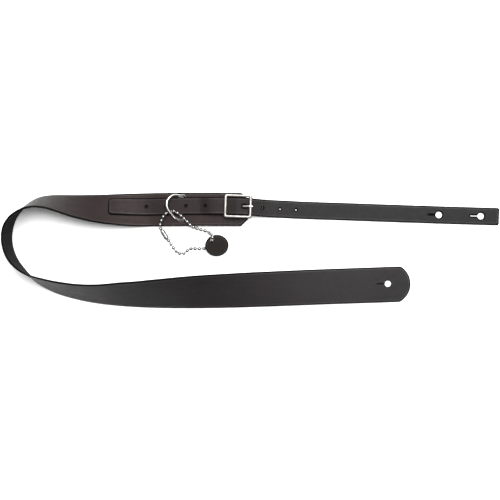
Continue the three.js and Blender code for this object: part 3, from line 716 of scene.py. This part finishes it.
# ---- chape: a strip folded round the buckle's bar ----
def buckle_chape(materials):
    """The strip's path is the middle of its inner face: lower leaf, fold, upper leaf."""
    thick = CHAPE["thick"] * MM
    inner = BAR["r"] + GAP
    lower_z = BAR["z"] - inner
    upper_z = lower_z + GAP
    left, fold = CHAPE["left"] * MM, CHAPE["fold_start"] * MM
    path = [(left, lower_z), (0, lower_z)]
    path += [(inner * math.sin(t), BAR["z"] - inner * math.cos(t)) for t in np.radians(range(10, 180, 10))]
    path += [(0, BAR["z"] + inner), (-1.6 * MM, BAR["z"] + inner), (fold, upper_z), (left, upper_z)]
    corners = np.array([(x, 0, z) for x, z in path])
    run = along(corners)
    where = np.linspace(0, run[-1], 400)
    line = read(where, run, corners)
    for _ in range(4):
        line[1:-1] = (line[:-2] + 2 * line[1:-1] + line[2:]) / 4
    tangent = unit(np.gradient(line, axis=0))
    c = np.tile((0.0, 1.0, 0.0), (len(line), 1))
    n = -unit(np.cross(c, tangent))
    turn = Matrix.Rotation(BUCKLE["turn"], 3, "Z")
    spin = lambda rows: np.array([turn @ Vector(row) for row in rows])
    line = spin(line) + np.array((BUCKLE["x"], BUCKLE["y"], 0))
    ribbon = Ribbon(line, spin(c), -spin(n), np.zeros(len(line)))
    half = CHAPE["half_y"] * MM
    length = ribbon.s[-1]
    edge = 0.3 * MM
    far, side = length - edge, half - edge
    corners = [(edge, -side), (far, -side), (far, side), (edge, side)]
    outline = edge_line(corners + corners[:1], 1.5 * MM)
    leaf = -left
    bend = leaf + math.pi * inner / 2
    holes = [oval_slot((bend, 0), 15 * MM, 4.2 * MM)]
    rivet = (RIVET["x"] * MM) - left
    for along_leaf in (rivet, length - rivet):
        for sign in (-1, 1):
            holes.append(round_hole((along_leaf, sign * RIVET["y"] * MM), RIVET["r"] * MM + GAP, 16))
    return leather("chape_leather", np.array(outline), holes, ribbon, thick, materials,
                   0.3 * MM, 0.2 * MM, 1.8 * MM, wave=0)


# ---- tag: an oval disc that leans on the chain ----
class Flat:
    """Places a flat pattern drawn about a point, by a turn and a move."""

    def __init__(self, matrix):
        self.matrix = np.array(matrix)

    def place(self, s, a, h):
        points = np.stack([s, a, h], axis=1)
        return points @ self.matrix[:3, :3].T + self.matrix[:3, 3]


def leather_tag(materials):
    axis = Vector((-math.sin(TAG_HEADING), math.cos(TAG_HEADING), 0))
    place = Matrix.Translation(TAG_HOLE) @ Matrix.Rotation(TAG_LEAN, 4, axis)
    middle = arc((0, 0), TAG["to_middle"], TAG_HEADING)
    outline = arc(middle, (TAG["half_x"], TAG["half_y"]), np.linspace(0, 2 * math.pi, 96, endpoint=False))
    centre = lambda rows: rows + np.array((0, 0, -TAG["thick"] / 2, 0))
    return leather("tag_disc", outline, [round_hole((0, 0), TAG["hole_r"], 32)], Flat(place), TAG["thick"],
                   materials, 0.55 * MM, 0.4 * MM, 1.4 * MM, shape=centre, wave=0.05 * MM)


# ---- metal pieces ----
def buckle_matrix(z=0.0):
    return Matrix.Translation((BUCKLE["x"], BUCKLE["y"], z)) @ Matrix.Rotation(BUCKLE["turn"], 4, "Z")


def rounded_loop(half_x, half_y, radius, corner_steps=8, side_steps=10):
    """A rounded rectangle with the same number of points whatever its size."""
    signs = ((1, -1), (1, 1), (-1, 1), (-1, -1))
    points = []
    for k, (sx, sy) in enumerate(signs):
        centre = np.array((sx * (half_x - radius), sy * (half_y - radius)))
        turns = np.radians(np.linspace(-90 + 90 * k, 90 * k, corner_steps))
        corner = arc(centre, radius, turns)
        points += list(corner)
        next_x, next_y = signs[(k + 1) % 4]
        there = arc((next_x * (half_x - radius), next_y * (half_y - radius)), radius, turns[-1])
        points += [corner[-1] + (there - corner[-1]) * i / side_steps for i in range(1, side_steps)]
    return np.array(points) * MM


def buckle_frame(material):
    """A cast frame with a domed section, and a centre bar between two lugs under its long sides."""
    outer = rounded_loop(FRAME["half_x"], FRAME["half_y"], 3.4)
    inner = rounded_loop(FRAME["open_x"], FRAME["open_y"], 1.2)
    low, thick = FRAME["z"] * MM, FRAME["thick"] * MM
    profile = []
    for degrees in range(0, 181, 12):
        t = math.radians(degrees)
        profile.append(((1 - math.cos(t)) / 2, low + thick * (0.36 + 0.64 * math.sin(t) ** 0.8)))
    profile += [(1.0, low + 0.2 * thick), (0.93, low), (0.5, low), (0.07, low), (0.0, low + 0.2 * thick)]
    matrix = buckle_matrix()
    vertices = []
    for i in range(len(outer)):
        for u, z in profile:
            p = inner[i] + (outer[i] - inner[i]) * u
            vertices.append(matrix @ Vector((p[0], p[1], z)))
    faces = strips(len(outer), len(profile), True)
    piece = new_piece("buckle_casting", vertices, faces, [material])
    lug_middle = (FRAME["half_y"] + FRAME["open_y"] - 0.6) / 2
    parts = []
    for sign in (-1, 1):
        line = [matrix @ Vector((0, sign * lug_middle * MM, z * MM)) for z in np.linspace(8.5, 13.0, 8)]
        parts.append(sweep("lug", line, 1.65 * MM, 1.7 * MM, (0, 1, 0), material, sides=20))
    line = [matrix @ Vector((0, y * MM, BAR["z"])) for y in np.linspace(-lug_middle, lug_middle, 24)]
    parts.append(sweep("bar", line, BAR["r"], BAR["r"], (0, 0, 1), material, sides=24))
    return weigh_normals(fuse(piece, *parts))


def buckle_prong(material):
    """Flattened wire: one turn round the bar, then a tongue that rises over the frame's far side."""
    rest = FRAME["z"] + FRAME["thick"] + 0.3 - BAR["z"] / MM
    collar_r = 2.0
    turn_from, turn_to = math.radians(-235), math.radians(62)
    steps, collar_steps = 110, 45
    line = []
    for t in np.linspace(turn_from, turn_to, 34):
        line.append((collar_r * math.sin(t), -collar_r * math.cos(t)))
    tongue = [(3.4, 0.7), (5.6, 1.95), (8, 3.2), (11, 4.95), (14.0, 6.5)]
    tongue += [(16.6, rest + 1.02), (18.5, rest + 1.0), (21.0, rest + 0.82)]
    path = catmull_rom([(x, 0, z) for x, z in line[::3] + tongue])(np.linspace(0, 1, steps))
    matrix = buckle_matrix(BAR["z"])
    run = np.clip((path[:, 0] - 1.0) / 5.0, 0, 1)
    past_collar = np.arange(steps) > collar_steps
    tongue_share = np.where(past_collar, run, 0)
    wide = (1.45 + (1.25 - 1.45) * tongue_share) * MM
    high = (0.48 + (0.98 - 0.48) * tongue_share) * MM
    tip = np.clip((path[:, 0] - 17.5) / 4.0, 0, 1) * past_collar
    wide, high = wide * (1 - 0.25 * tip), high * (1 - 0.22 * tip)
    placed = [matrix @ Vector(p * MM) for p in path]
    up = [matrix.to_3x3() @ Vector((0, 1, 0))] * len(placed)
    return sweep("prong_wire", placed, high, wide, np.array(up), material, sides=20)


def lathe_piece(name, profile, place, material, segments=40):
    vertices, faces = lathe_mesh([(r * MM, z * MM) for r, z in profile], segments, place)
    return weigh_normals(new_piece(name, vertices, faces, [material]))


def rivets(material):
    lift = BAND_LIFT - GAP / MM
    top = (BAR["z"] - BAR["r"]) / MM + CHAPE["thick"]
    post = [(0, 0.05), (1.6, 0.05), (2.6, 0.15), (3.3, 0.5), (3.75, 1.0), (4.0, 1.6), (4.0, 2.3), (3.9, lift)]
    post += [(1.8, lift), (1.5, lift + 0.2), (1.5, top - 0.3), (1.2, top), (0, top)]
    base = top + GAP / MM
    dome = [(0, 0), (3.7, 0), (3.98, 0.12), (3.9, 0.32), (3.4, 0.52), (2.4, 0.66), (1.2, 0.7), (0, 0.7)]
    cap = [(r, base + rise) for r, rise in dome]
    made = []
    for i, sign in enumerate((-1, 1), 1):
        x, y = buckle_place(RIVET["x"], sign * RIVET["y"])
        place = Matrix.Translation((x, y, 0))
        made.append((lathe_piece(f"rivet_shank_{i}", post, place, material), f"rivet_post_{i}"))
        made.append((lathe_piece(f"rivet_dome_{i}", cap, place, material), f"rivet_cap_{i}"))
    return made


RING_ARC = [
    (1.1, 78.8), (3.6, 79.5), (8.2, 79.7), (13.2, 80.3), (17.2, 79.0), (21.2, 75.7), (24.1, 71.4),
    (25.1, 66.6), (24.7, 61.8), (22.6, 57.4), (19.2, 53.2), (15.6, 48.6), (11.2, 45.5), (7.2, 44.2),
    (3.6, 43.6), (1.1, 44.3),
]


def keeper_ring(material):
    """A bent wire: (distance from its straight bar seen from above, y) for each point of its line."""
    bar = [(0, RING["low_y"] + 4), (0, (RING["low_y"] + RING["high_y"]) / 2), (0, RING["high_y"] - 4)]
    slope = RING["slope"]
    points = [(RING["x"] - away, y, RING["z"] + away * math.tan(slope)) for away, y in RING_ARC + bar]
    line = evenly(catmull_rom(points, closed=True), 220, closed=True) * MM
    normal = (math.sin(slope), 0, math.cos(slope))
    return sweep("ring_wire", line, WIRE_R * 0.985, WIRE_R * 0.985, normal, material, sides=24, closed=True)


def bead_profile():
    """A hollow ball with a drawn-in mouth at both ends."""
    mouth = math.asin(0.95 * MM / BEAD_R)
    side = [(BEAD_R * math.sin(t), -BEAD_R * math.cos(t)) for t in np.linspace(mouth, math.pi - mouth, 17)]
    lip = BEAD_R * math.cos(mouth)
    start = [(0, -lip + 0.45 * MM), (0.7 * MM, -lip + 0.4 * MM), (0.85 * MM, -lip + 0.05 * MM)]
    stop = [(r, -z) for r, z in start[::-1]]
    return start + side + stop


def link_profile(length):
    """A wire that swells to a head inside each of the two balls that it joins."""
    half = length / 2
    start = [(0, -half), (LINK_R * 0.8, -half), (LINK_R, -half + 0.2 * MM), (LINK_R * 0.86, -half * 0.5)]
    return start + [(LINK_R * 0.82, 0)] + [(r, -z) for r, z in start[::-1]]


def aim(place, direction):
    turn = Vector(direction).to_track_quat("Z", "Y").to_matrix().to_4x4()
    return Matrix.Translation(Vector(place)) @ turn


def ball_chain(centres, material):
    shells = []
    headings = np.gradient(centres, axis=0)
    for centre, heading in zip(centres, headings):
        shells.append(lathe_mesh(bead_profile(), 24, aim(centre, heading)))
    for here, there in zip(centres[:-1], centres[1:]):
        length = float(np.linalg.norm(there - here)) - 2 * BEAD_R + 1.1 * MM
        shells.append(lathe_mesh(link_profile(length), 12, aim((here + there) / 2, there - here)))
    vertices, faces = join_shells(shells)
    return new_piece("ball_chain", vertices, faces, [material])


def chain_coupling(first, last, material):
    """A thin sleeve, split along one side, with its ends drawn in over the chain's end balls."""
    outer = [(-7.5, 1.7), (-7.35, 2.2), (-6.9, 2.72), (-6.2, 3.08), (-5.2, 3.2), (-3.4, 3.22), (-1.7, 3.08)]
    outer += [(0, 3.02)]
    outer += [(-x, r) for x, r in outer[-2::-1]]
    wall = 0.35
    count = 36
    opening = math.radians(17)
    turns = np.linspace(opening, 2 * math.pi - opening, count)
    place = aim((first + last) / 2, first - last)
    vertices, faces = [], []
    for shrink in (0.0, wall):
        for x, r in outer:
            for t in turns:
                slot = np.array((math.cos(t), math.sin(t))) * (r - shrink)
                vertices.append(place @ (Vector((slot[0], slot[1], x * (1 - shrink * 0.02))) * MM))
    rows = len(outer)
    skin = rows * count
    for i in range(rows - 1):
        for j in range(count - 1):
            a, b = i * count + j, (i + 1) * count + j
            faces += [(a, a + 1, b + 1, b), (skin + a, skin + b, skin + b + 1, skin + a + 1)]
    for i in range(rows - 1):
        for j in (0, count - 1):
            a, b = i * count + j, (i + 1) * count + j
            faces.append((a, b, skin + b, skin + a))
    for i in (0, rows - 1):
        for j in range(count - 1):
            a = i * count + j
            faces.append((a, a + 1, skin + a + 1, skin + a))
    return weigh_normals(new_piece("chain_sleeve", vertices, faces, [material]))


# ---- materials ----
class Nodes:
    """Short ways to add shader nodes to a new material or world."""

    def __init__(self, owner, shader="Principled BSDF"):
        owner.use_nodes = True
        self.owner = owner
        self.tree = owner.node_tree
        self.shader = self.tree.nodes[shader]

    def add(self, kind, settings=None, **inputs):
        node = self.tree.nodes.new(kind)
        for key, value in (settings or {}).items():
            setattr(node, key, value)
        for key, value in inputs.items():
            self.feed(node.inputs[key.replace("_", " ")], value)
        return node

    def feed(self, socket, value):
        if isinstance(value, bpy.types.NodeSocket):
            self.tree.links.new(value, socket)
        elif hasattr(socket.default_value, "__len__") and len(socket.default_value) == 4:
            socket.default_value = (*value, 1) if len(value) == 3 else value
        else:
            socket.default_value = value

    def noise(self, vector, scale, detail=3.0, roughness=0.5):
        made = self.add("ShaderNodeTexNoise", Vector=vector, Scale=scale, Detail=detail, Roughness=roughness)
        return made.outputs["Fac"]

    def stretch(self, vector, scale):
        return self.add("ShaderNodeMapping", Vector=vector, Scale=scale).outputs["Vector"]

    def ramp(self, fac, low, high, start=0.0, stop=1.0):
        """A number that runs from start to stop as fac runs from low to high."""
        ends = {"From_Min": low, "From_Max": high, "To_Min": start, "To_Max": stop}
        return self.add("ShaderNodeMapRange", Value=fac, **ends).outputs["Result"]

    def mix(self, fac, first, second, blend="MIX"):
        made = self.add("ShaderNodeMix", {"data_type": "RGBA", "blend_type": blend}, Factor=fac)
        self.feed(made.inputs[6], first)
        self.feed(made.inputs[7], second)
        return made.outputs[2]

    def math(self, operation, first, second):
        made = self.add("ShaderNodeMath", {"operation": operation})
        self.feed(made.inputs[0], first)
        self.feed(made.inputs[1], second)
        return made.outputs["Value"]

    def times(self, first, second):
        return self.math("MULTIPLY", first, second)

    def bump(self, height, distance, strength, below=None):
        made = self.add("ShaderNodeBump", Height=height, Distance=distance, Strength=strength)
        if below is not None:
            self.feed(made.inputs["Normal"], below)
        return made.outputs["Normal"]

    def finish(self, **sockets):
        for key, value in sockets.items():
            self.feed(self.shader.inputs[key.replace("_", " ")], value)
        return self.owner


def leather_nodes(name):
    """A new material's nodes, its place in the piece's own space, and its place in the flat pattern."""
    n = Nodes(bpy.data.materials.new(name))
    place = n.add("ShaderNodeTexCoord").outputs["Object"]
    flat = n.add("ShaderNodeUVMap", {"uv_map": "flat"}).outputs["UV"]
    return n, place, flat


def grain_leather(name, dark, light, warm, edge):
    """Smooth grain with pores, clouds, streaks along the strap, and a crease by its border; the border
    darkened by edge dye and painted shade, a painted highlight line inside the crease, and a painted sheen
    tint by place.
    """
    n, place, flat = leather_nodes(name)
    rim = n.add("ShaderNodeAttribute", {"attribute_name": "rim"}).outputs["Fac"]
    border = n.add("ShaderNodeAttribute", {"attribute_name": "border"}).outputs["Fac"]
    clouds = n.ramp(n.noise(place, 9, 4), 0.35, 0.68)
    mottle = n.ramp(n.noise(place, 260, 5, 0.65), 0.3, 0.75)
    streaks = n.ramp(n.noise(n.stretch(flat, (14, 520, 1)), 1.0, 3), 0.42, 0.72)
    base = n.mix(clouds, dark, warm)
    base = n.mix(n.times(mottle, 0.5), base, light)
    base = n.mix(n.times(streaks, 0.4), base, light)
    # Painted sheen: a mauve-brown tint by place, strongest on the upper run near the loop, standing in for
    # the reflection tone there; it tints both the colour and the specular.
    where = n.add("ShaderNodeSeparateXYZ", Vector=place).outputs
    painted_sheen_place = n.times(n.ramp(where["Y"], -0.03, 0.04), n.ramp(where["X"], 0.06, -0.05))
    painted_sheen_tint = n.mix(painted_sheen_place, (0.96, 0.97, 1.0), (1.0, 0.84, 0.82))
    base = n.mix(1.0, base, painted_sheen_tint, "MULTIPLY")
    uneven = n.ramp(n.noise(place, 70, 4), 0.3, 0.7, 0.35, 1.0)
    groove = n.times(n.ramp(border, 0.0014, 0.0019), n.ramp(border, 0.0024, 0.0019))
    # Painted highlight: a lighter band just inside the crease, made patchy by noise, with lower roughness and
    # stronger specular there.
    painted_highlight_line = n.times(n.ramp(border, 0.0019, 0.0025), n.ramp(border, 0.0036, 0.0028))
    # Edge dye and painted shade: the grain is darkened towards the border, by dye running on from the cut
    # edge and by painted shade of the crease and of the shadow line along the outline.
    base = n.mix(n.ramp(border, 0.0021, 0.0013, 0.0, 0.8), base, edge)
    base = n.mix(n.times(rim, 0.8), base, edge)
    patchy_painted_highlight = n.times(painted_highlight_line, uneven)
    base = n.mix(n.times(patchy_painted_highlight, 0.75), base, tuple(1.7 * x for x in light))
    cells = n.add("ShaderNodeTexVoronoi", {"feature": "SMOOTH_F1"}, Vector=place, Scale=1050.0)
    normal = n.bump(cells.outputs["Distance"], 0.00014, 0.6)
    normal = n.bump(n.noise(place, 2600, 3), 0.00006, 0.45, normal)
    normal = n.bump(n.noise(n.stretch(flat, (20, 700, 1)), 1.0, 2), 0.00008, 0.3, normal)
    normal = n.bump(n.math("SUBTRACT", 1.0, groove), 0.00012, 0.6, normal)
    rough = n.ramp(n.noise(place, 180, 5), 0.3, 0.7, 0.44, 0.54)
    rough = n.math("SUBTRACT", rough, n.times(painted_highlight_line, 0.08))
    shine = n.times(n.math("ADD", patchy_painted_highlight, 1.25), 0.1)
    shine = n.times(shine, n.ramp(border, 0.0012, 0.0021, 0.15, 1.0))
    shine = n.times(shine, n.ramp(rim, 0.0, 1.0, 1.0, 0.2))
    return n.finish(
        Base_Color=base, Roughness=rough, Specular_IOR_Level=shine, Specular_Tint=painted_sheen_tint, Normal=normal,
        Sheen_Weight=0.01,
    )


def flesh_leather(name, dark, light):
    """The leather's rough underside: short fibres and faint stretch lines."""
    n, place, flat = leather_nodes(name)
    fibres = n.ramp(n.noise(n.stretch(flat, (500, 1500, 1)), 1.0, 6, 0.7), 0.35, 0.7)
    patches = n.ramp(n.noise(place, 70, 4), 0.3, 0.7)
    base = n.mix(fibres, dark, light)
    base = n.mix(n.times(patches, 0.4), base, dark)
    normal = n.bump(n.noise(place, 1400, 6, 0.75), 0.00022, 0.7)
    normal = n.bump(patches, 0.0002, 0.35, normal)
    rough = n.ramp(fibres, 0, 1, 0.78, 0.95)
    return n.finish(Base_Color=base, Roughness=rough, Normal=normal, Specular_IOR_Level=0.06)


def edge_leather(name, dark, light):
    """A dyed and burnished cut edge with layers along it."""
    n = Nodes(bpy.data.materials.new(name))
    place = n.add("ShaderNodeTexCoord").outputs["Object"]
    layers = n.noise(n.stretch(place, (90, 90, 1800)), 1.0, 4)
    base = n.mix(n.ramp(layers, 0.4, 0.75), dark, light)
    normal = n.bump(layers, 0.00012, 0.4)
    normal = n.bump(n.noise(place, 900, 4), 0.00008, 0.4, normal)
    rough = n.ramp(layers, 0.3, 0.7, 0.5, 0.7)
    return n.finish(Base_Color=base, Roughness=rough, Normal=normal, Specular_IOR_Level=0.02)


def leather_set(name, dark, light, warm, edge_light, flesh_dark, flesh_light):
    """The materials of a piece's grain side, its cut edges and its flesh side, in the order of leather()."""
    return [
        grain_leather(f"{name}_grain", dark, light, warm, EDGE_DARK),
        edge_leather(f"{name}_edge", EDGE_DARK, edge_light),
        flesh_leather(f"{name}_flesh", flesh_dark, flesh_light),
    ]


def plated_metal(name, bright, dull, painted_flank_shade, faces_up_from, rough_low, rough_high, wear):
    """Nickel plate, bright metal where it faces up and painted near-black on its flanks as a painted dark
    reflection, with hairline scratches.
    """
    n = Nodes(bpy.data.materials.new(name))
    coordinates = n.add("ShaderNodeTexCoord").outputs
    place = coordinates["Object"]
    facing = n.add("ShaderNodeSeparateXYZ", Vector=coordinates["Normal"]).outputs["Z"]
    haze = n.ramp(n.noise(place, 160, 5, 0.6), 0.35, 0.72)
    spots = n.ramp(n.noise(place, 900, 3), 0.62, 0.74)
    base = n.mix(haze, bright, dull)
    base = n.mix(n.times(spots, wear), base, tuple(0.45 * x for x in dull))
    # Painted dark reflection: surfaces that face sideways are painted near-black and non-metallic, and only
    # surfaces that face up keep the bright metal.
    ragged = n.math("ADD", facing, n.ramp(n.noise(place, 500, 3), 0.3, 0.7, -0.025, 0.025))
    faces_up = n.ramp(ragged, faces_up_from, faces_up_from + 0.3)
    base = n.mix(faces_up, painted_flank_shade, base)
    hairlines = n.noise(n.stretch(place, (2600, 260, 700)), 1.0, 2)
    normal = n.bump(hairlines, 0.00002, 0.25)
    normal = n.bump(n.noise(place, 420, 3), 0.00008, 0.15, normal)
    rough = n.math("ADD", n.ramp(haze, 0, 1, rough_low, rough_high), n.ramp(faces_up, 0, 1, 0.3, 0))
    return n.finish(Base_Color=base, Metallic=faces_up, Roughness=rough, Normal=normal, Specular_IOR_Level=0.02)


# ---- the assembly ----
make_camera()
make_studio()

# The studio is as bright as the overexposed photograph, so these colours are far darker than real leather's.
# Painted flank shade: the near-black colour painted on the metal's sideways-facing flanks as a painted dark
# reflection.
PAINTED_FLANK_SHADE = (0.014, 0.0125, 0.0115)
NICKEL = plated_metal("nickel_plate", (0.5, 0.47, 0.445), (0.35, 0.32, 0.3), PAINTED_FLANK_SHADE, 0.82, 0.16, 0.3, 0.4)
WIRE = plated_metal("nickel_wire", (0.88, 0.85, 0.81), (0.6, 0.56, 0.52), PAINTED_FLANK_SHADE, 0.3, 0.14, 0.28, 0.4)
STEEL = plated_metal("chain_plate", (0.5, 0.49, 0.475), (0.38, 0.37, 0.36), PAINTED_FLANK_SHADE, 0.74, 0.16, 0.3, 0.4)
EDGE_DARK, EDGE_LIGHT = (0.0018, 0.0017, 0.0017), (0.0045, 0.0042, 0.004)
BAND_SET = leather_set(
    "band", (0.005, 0.0046, 0.0046), (0.0135, 0.0118, 0.0116), (0.009, 0.0066, 0.0066),
    EDGE_LIGHT, (0.0014, 0.0016, 0.0015), (0.006, 0.0066, 0.0062),
)
TAIL_SET = leather_set(
    "tail", (0.003, 0.0029, 0.003), (0.0078, 0.0074, 0.0074), (0.005, 0.0043, 0.0043),
    EDGE_LIGHT, (0.0028, 0.0028, 0.0026), (0.0115, 0.011, 0.0105),
)
TAG_SET = leather_set(
    "tag", (0.0036, 0.0029, 0.0025), (0.011, 0.0088, 0.007), (0.0065, 0.005, 0.0038),
    (0.012, 0.01, 0.008), (0.01, 0.0085, 0.007), (0.03, 0.026, 0.021),
)

centres = bead_centres()
band_path = band_ribbon()
chain = ball_chain(centres, STEEL)
sleeve = chain_coupling(centres[0], centres[-1], STEEL)
PIECES = [
    (chain, "strap", BEADS, "chain_steel"),
    (sleeve, "strap", ["chain_coupling"], "chain_steel"),
    (shoulder_band(band_path, BAND_SET), "strap", ["shoulder_band"], "band_leather"),
    (tail_strap(tail_ribbon(band_path), TAIL_SET), "strap", ["tail_strap"], "tail_leather"),
    (buckle_chape(BAND_SET), "strap", ["buckle_chape"], "band_leather"),
    (buckle_frame(NICKEL), "buckle", ["buckle_frame"], "nickel"),
    (buckle_prong(WIRE), "prong", ["buckle_prong"], "nickel"),
    (keeper_ring(WIRE), "ring", ["keeper_ring"], "nickel"),
    *((piece, "strap", [node], "nickel") for piece, node in rivets(NICKEL)),
]
tag = leather_tag(TAG_SET)
PIECES.append((tag, "tag", ["leather_tag"], "tag_leather"))
for piece, body, nodes, slot in PIECES:
    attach(piece, body)
    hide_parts(*nodes)
